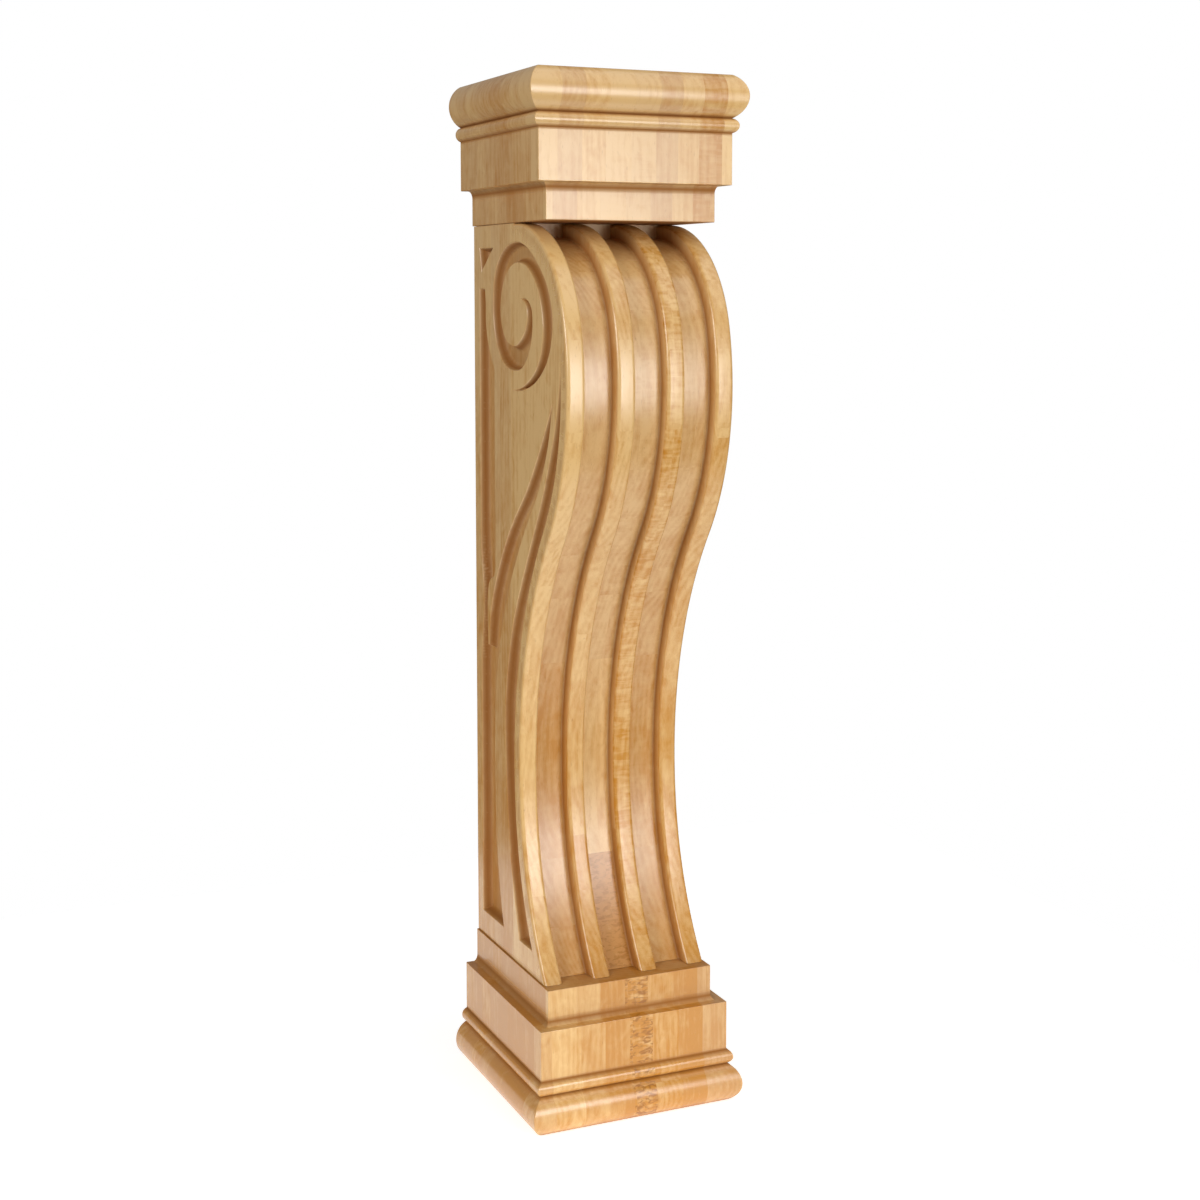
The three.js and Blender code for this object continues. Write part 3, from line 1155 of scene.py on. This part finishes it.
BODY_FOOT = (
    (-60.7, 0.12, 0.0, 0.0), (-31.5, 0.52, 0.25, 0.0), (-14.6, 0.5, 0.1, 0.0),
    (14.6, 1.0, 0.3, 0.96), (31.5, 0.42, 0.0, 0.5), (60.7, 0.48, 0.2, 0.1), (78, 0.45, 0.0, 0.1),
)
BODY_OUTER = (
    (-60.7, 0.0, 0.0, 0.0), (-31.5, 0.3, 0.4, 0.0), (-14.6, 0.12, 0.1, 0.0),
    (14.6, 0.12, 0.4, 0.0), (31.5, 0.38, 0.0, 0.7), (60.7, 0.3, 0.2, 0.1), (78, 0.36, 0.0, 0.2),
)

# Where the body's other staves are: below this height, nearer the back than this, and beyond this
FOOT_STAVES = 240 * MM
INNER_STAVES = 5 * BOARD
OUTER_STAVES = 10 * BOARD - 1.5 * MM

# Boards seen on the sides, from the back: front edge in mm, tone, redness and figure
BASE_SIDE = (
    (21.8, 0.34, 0.2, 0.0), (43.6, 0.5, 0.3, 0.0), (65.4, 0.26, 0.1, 0.0), (87.2, 0.38, 0.3, 0.0),
    (109, 0.75, 0.3, 0.1), (174, 0.55, 0.2, 0.0), (221, 0.4, 0.1, 0.0),
)
CAP_SIDE = (
    (21.8, 0.66, 0.2, 0.0), (43.6, 0.8, 0.3, 0.2), (65.4, 0.6, 0.2, 0.0), (87.2, 0.74, 0.3, 0.1),
    (131, 1.0, 0.3, 0.1), (174, 0.7, 0.2, 0.0), (221, 0.56, 0.2, 0.0),
)
BODY_SIDE = (
    (21.8, 0.3, 0.2, 0.0), (43.6, 0.4, 0.1, 0.0), (65.4, 0.3, 0.3, 0.0), (87.2, 0.42, 0.2, 0.0),
    (109, 0.3, 0.2, 0.0), (221, 0.2, 0.35, 0.0),
)


class WoodWiring(Wiring):
    """Shader nodes in the words that the wood needs"""

    def vector(self, operation, first, second):
        """A Vector Math node"""
        return self.add("ShaderNodeVectorMath", {0: first, 1: second}, operation=operation)

    def stripes(self, place, staves, low, high):
        """Tone, redness and figure of the stave at a place along a row of staves"""
        share = self.math("DIVIDE", self.math("SUBTRACT", place, low * MM), (high - low) * MM)
        ramp = self.tree.nodes.new("ShaderNodeValToRGB")
        ramp.color_ramp.interpolation = "CONSTANT"
        self.tree.links.new(share, ramp.inputs[0])
        stops = ramp.color_ramp.elements
        while len(stops) < len(staves):
            stops.new(0.5)
        start = low
        for stop, (end, tone, red, figure) in zip(list(stops), staves):
            stop.position = (start - low) / (high - low)
            stop.color = (tone, red, figure, 1)
            start = end
        return ramp.outputs[0]

    def noise(self, vector, stretch, detail, roughness, distortion):
        """Noise between 0 and 1 whose grain has the given size in mm along X, Y and Z"""
        scale = tuple(1 / (size * MM) for size in stretch)
        placed = self.vector("MULTIPLY", vector, scale)
        node = self.add(
            "ShaderNodeTexNoise",
            {
                "Vector": placed.outputs[0],
                "Scale": 1.0,
                "Detail": detail,
                "Roughness": roughness,
                "Distortion": distortion,
            },
        )
        return node.outputs[0]

    def blend(self, share, first, second):
        """Colour between a first and a second one, by the second one's share"""
        node = self.add("ShaderNodeMix", {0: share}, data_type="RGBA")
        for key, value in ((6, first), (7, second)):
            if isinstance(value, bpy.types.NodeSocket):
                self.tree.links.new(value, node.inputs[key])
            else:
                node.inputs[key].default_value = (*value, 1)
        return node.outputs[2]


def crease_shading(wiring, height, creases):
    """Painted shade, 1 at the given heights of a moulding, falling to 0 at each one's reach"""
    tone = 0.0
    for crease, reach in creases:
        gap = wiring.math("ABSOLUTE", wiring.math("SUBTRACT", height, crease))
        near = wiring.math("MULTIPLY_ADD", gap, -1 / reach, 1.0, clamp=True)
        tone = wiring.math("MAXIMUM", near, tone)
    return tone


def channel_shading(wiring, across, height):
    """The stored painted shade of the grooves, kept off the middle of the channels except under the
    cap, where it is a painted shadow of the cap
    """
    sizes = bpy.context.scene.corbel_sizes
    pitch = (2 * HALF_BODY - sizes.ridge_width) / sizes.channels
    half = (pitch - sizes.ridge_width) / 2
    shift = pitch / 2 * ((sizes.channels + 1) % 2)
    off_middle = wiring.math("PINGPONG", wiring.math("ADD", across, shift), pitch / 2)
    edge = wiring.math(
        "MULTIPLY_ADD", off_middle, 1 / FLOOR_FADE, 1 - half / FLOOR_FADE, clamp=True
    )
    # Painted shadow of the cap over the top of the channels
    cap_shadow = crease_shading(wiring, height, [(BODY_HIGH.z, CAP_SHADE)])
    edge = wiring.math("MAXIMUM", edge, cap_shadow)
    stored = wiring.add("ShaderNodeAttribute", {}, attribute_name="crevice_shade").outputs["Fac"]
    return wiring.math("MULTIPLY", stored, edge)


def laid_staves(wiring, place, front, side, laid, others):
    """Looks of the glued staves, a place in each one's own grain, and 1 where the side shows"""
    begin, half = laid
    split = wiring.add("ShaderNodeSeparateXYZ", {0: place}).outputs
    across, height = split[0], split[2]
    depth = wiring.math("SUBTRACT", BACK, split[1])

    # The glued lattice: boards in the depth, staves across each board, staggered board by board
    board = wiring.math("FLOOR", wiring.math("DIVIDE", depth, BOARD))
    rhythm = wiring.math("SINE", wiring.math("MULTIPLY", board, STAGGER_RHYTHM))
    stagger = wiring.math("MULTIPLY", rhythm, STAGGER)
    strip = wiring.math("FLOOR", wiring.math("DIVIDE", wiring.math("ADD", across, stagger), STRIP))
    cell = wiring.add("ShaderNodeCombineXYZ", {0: strip, 1: board, 2: 0.5})
    chance = wiring.add(
        "ShaderNodeTexWhiteNoise", {0: cell.outputs[0]}, noise_dimensions="3D"
    ).outputs["Color"]
    hidden = wiring.vector("MULTIPLY", chance, HIDDEN_LOOKS).outputs[0]

    # The staves that show, on the front and on the side
    looks = wiring.stripes(across, front, -half, half)
    for axis, side_of, limit, staves in others:
        there = wiring.math(side_of, {"depth": depth, "height": height}[axis], limit)
        looks = wiring.blend(there, looks, wiring.stripes(across, staves, -half, half))
    is_front = wiring.math("GREATER_THAN", depth, begin * MM)
    looks = wiring.blend(is_front, hidden, looks)
    edge_strip = wiring.math("LESS_THAN", across, (SIDE_STAVE - half) * MM)
    at_side = wiring.math("MULTIPLY", edge_strip, wiring.math("SUBTRACT", 1.0, is_front))
    looks = wiring.blend(at_side, looks, wiring.stripes(depth, side, 0, SIDE_DEPTH))

    # Every stave has its own grain
    seed = wiring.vector("MULTIPLY", looks, GRAIN_SEED).outputs[0]
    own = wiring.vector("ADD", place, wiring.vector("ADD", seed, hidden).outputs[0]).outputs[0]
    return looks, own, at_side


def grained(wiring, own, grain, figure, tone):
    """A stave's tone with its noises, growth rings and curl"""
    split = wiring.add("ShaderNodeSeparateXYZ", {0: own}).outputs
    lean = wiring.math("MULTIPLY", wiring.math("SUBTRACT", grain["drift"], 0.5), RING_DRIFT)
    ring_x = wiring.math("ADD", wiring.math("MULTIPLY", split[0], RING_LEAN[0]), lean)
    ring_y = wiring.math("MULTIPLY", split[1], RING_LEAN[1])
    ring = wiring.math("ADD", ring_x, ring_y)
    wave = wiring.math("SINE", wiring.math("MULTIPLY", ring, 2 * math.pi / RING_WIDTH))
    wave = wiring.math("MULTIPLY", wave, grain["mottle"])
    curl = wiring.math("MULTIPLY_ADD", grain["curl"], *CURL_GAIN)
    curl = wiring.math("MULTIPLY", curl, figure)
    for key, weight in SHADING:
        off = wiring.math("SUBTRACT", grain[key], 0.5)
        tone = wiring.math("MULTIPLY_ADD", off, weight, tone)
    tone = wiring.math("MULTIPLY_ADD", wave, RING_SHADE, tone)
    return wiring.math("MULTIPLY_ADD", curl, CURL_SHADE, tone, clamp=True)


def dark_marks(wiring, grain, figure, crease):
    """Share of the dark colour: flecks of the figured staves and specks, and the painted shade of
    the creases
    """
    flecked = wiring.math("MULTIPLY_ADD", figure, *FLECKED_GAIN, clamp=True)
    fleck = wiring.math("MULTIPLY_ADD", grain["fleck"], *FLECK_GAIN, clamp=True)
    dark = wiring.math("MULTIPLY", wiring.math("MULTIPLY", fleck, flecked), FLECK_DARK)
    dark = wiring.math("MAXIMUM", dark, wiring.math("MULTIPLY", crease, CREASE_SHADE_SHARE))
    speck = wiring.math("MULTIPLY_ADD", grain["speck"], *SPECK_GAIN, clamp=True)
    return wiring.math("MAXIMUM", dark, speck)


def maple(name, front, side, laid, creases, others=()):
    """Maple glued up from boards and staves, under a clear lacquer"""
    finish = bpy.context.scene.corbel_finish
    material = bpy.data.materials.new(name)
    material.use_nodes = True
    tree = material.node_tree
    shader = tree.nodes["Principled BSDF"]
    wiring = WoodWiring(tree)
    place = wiring.add("ShaderNodeTexCoord").outputs["Object"]
    across, _, height = wiring.add("ShaderNodeSeparateXYZ", {0: place}).outputs
    looks, own, at_side = laid_staves(wiring, place, front, side, laid, others)
    tone, red, figure = wiring.add("ShaderNodeSeparateColor", {0: looks}).outputs
    grain = {key: wiring.noise(own, *kind) for key, kind in GRAIN.items()}

    # Painted shade, deeper towards the foot, and twice as much so on the side
    deeper_shade = wiring.math("MULTIPLY_ADD", height, -SHADE_FALL, FOOT_SHADE)
    tone = wiring.math("MULTIPLY_ADD", deeper_shade, wiring.math("ADD", at_side, 1.0), tone)
    tone = grained(wiring, own, grain, figure, tone)
    colour = wiring.blend(tone, finish.pale, finish.tan)
    colour = wiring.blend(wiring.math("MULTIPLY", red, ROSE_SHARE), colour, finish.rose)
    # Painted shade in the creases, the grooves and under the cap, with the real flecks and specks,
    # in the dark colour
    if creases:
        crease = crease_shading(wiring, height, creases)
    else:
        crease = channel_shading(wiring, across, height)
    colour = wiring.blend(dark_marks(wiring, grain, figure, crease), colour, finish.dark)
    tree.links.new(colour, shader.inputs["Base Color"])

    dulled = wiring.math("MULTIPLY_ADD", crease, CREASE_DULL, finish.lacquer)
    tree.links.new(dulled, shader.inputs["Roughness"])
    shader.inputs["Specular IOR Level"].default_value = SHINE
    relief = wiring.math("MULTIPLY_ADD", grain["streak"], STREAK_RELIEF, grain["fibre"])
    bump = wiring.add(
        "ShaderNodeBump", {"Strength": GRAIN_BUMP, "Distance": GRAIN_DEPTH, "Height": relief}
    )
    tree.links.new(bump.outputs[0], shader.inputs["Normal"])
    return material


# Studio


# Half the floor's width, its roughness and its own glow
FLOOR_REACH = 0.7
FLOOR_ROUGHNESS = 0.9
FLOOR_GLOW = 0.68

# The sky's light and how much more of it comes from the front, and its bright band: where its
# middle is from the horizon (0) to straight up (1), how fast it fades, and the least share
SKY_LIGHT = 0.39
SKY_SLOPE = 0.12
BAND_MIDDLE = 0.35
BAND_FADE = 1.3
BAND_LEAST = 0.4

# Soft lights: name, place, size, watts and colour, all turned to one place
WHITE = (1.0, 1.0, 1.0)
LIGHT_AIM = (0, 0, 0.6)
SOFTBOXES = (
    ("key_softbox", (0.66, -2.1, 0.68), (0.6, 0.8), 9.3, WHITE),
    ("front_softbox", (0.72, -2.25, 0.75), (1.5, 1.5), 11.4, WHITE),
    ("left_softbox", (-2.1, -1.1, 1.4), (1.0, 1.0), 24.0, (1.0, 0.975, 1.0)),
    ("overhead_softbox", (0.6, -0.5, 1.92), (1.2, 1.2), 5.5, WHITE),
)

# The photo's camera: focal length and sensor in mm, shift, place, and its turn down and round
LENS = 56.6
SENSOR = 36.0
LENS_SHIFT = (-0.0014, -0.1026)
CAMERA_PLACE = (-0.682, -1.5437, 0.731)
CAMERA_DOWN = 5.62
CAMERA_ROUND = -23.91


def studio(scene):
    """Floor, sky, soft lights and camera"""
    r = FLOOR_REACH
    floor_mesh = bpy.data.meshes.new("studio_floor")
    floor_mesh.from_pydata([(-r, -r, 0), (r, -r, 0), (r, r, 0), (-r, r, 0)], [], [(0, 1, 2, 3)])
    floor = bpy.data.objects.new("studio_floor", floor_mesh)
    scene.collection.objects.link(floor)
    paint = bpy.data.materials.new("studio_paper")
    paint.use_nodes = True
    paper = paint.node_tree.nodes["Principled BSDF"]
    paper.inputs["Base Color"].default_value = (*scene.corbel_finish.floor, 1)
    paper.inputs["Roughness"].default_value = FLOOR_ROUGHNESS
    paper.inputs["Emission Color"].default_value = (*WHITE, 1)
    paper.inputs["Emission Strength"].default_value = FLOOR_GLOW
    floor_mesh.materials.append(paint)

    world = scene.world or bpy.data.worlds.new("studio")
    scene.world = world
    world.use_nodes = True
    sky = Wiring(world.node_tree)
    background = world.node_tree.nodes["Background"]
    facing = sky.add("ShaderNodeSeparateXYZ", {0: sky.add("ShaderNodeTexCoord").outputs[0]})
    level = sky.math("MULTIPLY_ADD", facing.outputs[1], -SKY_SLOPE, SKY_LIGHT)
    off_band = sky.math("ABSOLUTE", sky.math("SUBTRACT", facing.outputs[2], BAND_MIDDLE))
    band = sky.math("MULTIPLY_ADD", off_band, -BAND_FADE, 1.0)
    level = sky.math("MULTIPLY", level, sky.math("MAXIMUM", band, BAND_LEAST))
    seen = sky.add("ShaderNodeLightPath").outputs["Is Camera Ray"]
    level = sky.math("MAXIMUM", level, seen)
    background.inputs["Color"].default_value = (*WHITE, 1)
    world.node_tree.links.new(level, background.inputs["Strength"])

    for name, place, size, power, tint in SOFTBOXES:
        lamp = bpy.data.lights.new(name, "AREA")
        lamp.shape = "RECTANGLE"
        lamp.size, lamp.size_y = size
        lamp.energy = power
        lamp.color = tint
        light = bpy.data.objects.new(name, lamp)
        light.location = place
        aim = Vector(LIGHT_AIM) - Vector(place)
        light.rotation_euler = aim.to_track_quat("-Z", "Y").to_euler()
        scene.collection.objects.link(light)

    lens = bpy.data.cameras.new("photo_camera")
    lens.sensor_width = SENSOR
    lens.lens = LENS
    lens.shift_x, lens.shift_y = LENS_SHIFT
    camera = bpy.data.objects.new("photo_camera", lens)
    camera.location = CAMERA_PLACE
    camera.rotation_euler = (math.radians(90 - CAMERA_DOWN), 0, math.radians(CAMERA_ROUND))
    scene.collection.objects.link(camera)
    scene.camera = camera
    scene.view_settings.view_transform = "Standard"


# Operators


class CORBEL_OT_blocks(bpy.types.Operator):
    """Make the moulded base and cap blocks"""

    bl_idname = "corbel.blocks"
    bl_label = "Base and cap blocks"

    def execute(self, context):
        sizes = context.scene.corbel_sizes
        # Heights of the painted shade: the mouldings' creases, the joints with the body and the
        # base's contact with the floor
        places = (0.0, sizes.bead_height, sizes.band_end + PAST_BAND)
        steps = tuple(zip(places, CREASE_SHADE_REACH))
        base = [(sizes.base_bullnose + z, reach) for z, reach in steps]
        cap = [(CAP_HIGH.z - sizes.cap_bullnose - z, reach) for z, reach in steps]
        for creases, end, (gap, reach) in (
            (base, BASE_HIGH.z, BASE_JOINT_SHADE),
            (base, 0.0, BASE_CONTACT_SHADOW),
            (cap, CAP_LOW.z, CAP_JOINT_SHADE),
        ):
            creases.append((end + gap, reach))
        base_wood = maple("base_maple", BASE_FRONT, BASE_SIDE, BLOCK_STAVES, base)
        cap_wood = maple("cap_maple", CAP_FRONT, CAP_SIDE, BLOCK_STAVES, cap)
        moulded_block(
            "base_block_maple", "base_block", sizes.base_bullnose, False, base_wood
        )
        moulded_block(
            "cap_block_maple", "cap_block", sizes.cap_bullnose, True, cap_wood
        )
        return {"FINISHED"}


class CORBEL_OT_scroll_body(bpy.types.Operator):
    """Make the reeded scroll body with its carved sides"""

    bl_idname = "corbel.scroll_body"
    bl_label = "Scroll body"

    def execute(self, context):
        others = (
            ("height", "LESS_THAN", FOOT_STAVES, BODY_FOOT),
            ("depth", "LESS_THAN", INNER_STAVES, BODY_INNER),
            ("depth", "GREATER_THAN", OUTER_STAVES, BODY_OUTER),
        )
        wood = maple("body_maple", BODY_FRONT, BODY_SIDE, BODY_STAVES, (), others)
        scroll_body(wood)
        return {"FINISHED"}


class CORBEL_OT_studio(bpy.types.Operator):
    """Set the floor, the soft lights and the camera"""

    bl_idname = "corbel.studio"
    bl_label = "Studio"

    def execute(self, context):
        studio(context.scene)
        return {"FINISHED"}


class CORBEL_PT_panel(bpy.types.Panel):
    """Lists the pieces of the corbel"""

    bl_idname = "CORBEL_PT_panel"
    bl_label = "Fireplace corbel"
    bl_space_type = "VIEW_3D"
    bl_region_type = "UI"
    bl_category = "Corbel"

    def draw(self, context):
        for name in STEPS:
            self.layout.operator("corbel." + name)
        for group in (context.scene.corbel_sizes, context.scene.corbel_finish):
            for key in group.__annotations__:
                self.layout.prop(group, key)


STEPS = ("studio", "blocks", "scroll_body")
CLASSES = (
    CorbelSizes,
    CorbelFinish,
    CORBEL_OT_blocks,
    CORBEL_OT_scroll_body,
    CORBEL_OT_studio,
    CORBEL_PT_panel,
)


def register():
    for cls in CLASSES:
        bpy.utils.register_class(cls)
    bpy.types.Scene.corbel_sizes = PointerProperty(type=CorbelSizes)
    bpy.types.Scene.corbel_finish = PointerProperty(type=CorbelFinish)


def unregister():
    del bpy.types.Scene.corbel_finish
    del bpy.types.Scene.corbel_sizes
    for cls in reversed(CLASSES):
        bpy.utils.unregister_class(cls)


def main():
    register()
    for name in STEPS:
        getattr(bpy.ops.corbel, name)()


if __name__ == "__main__":
    main()
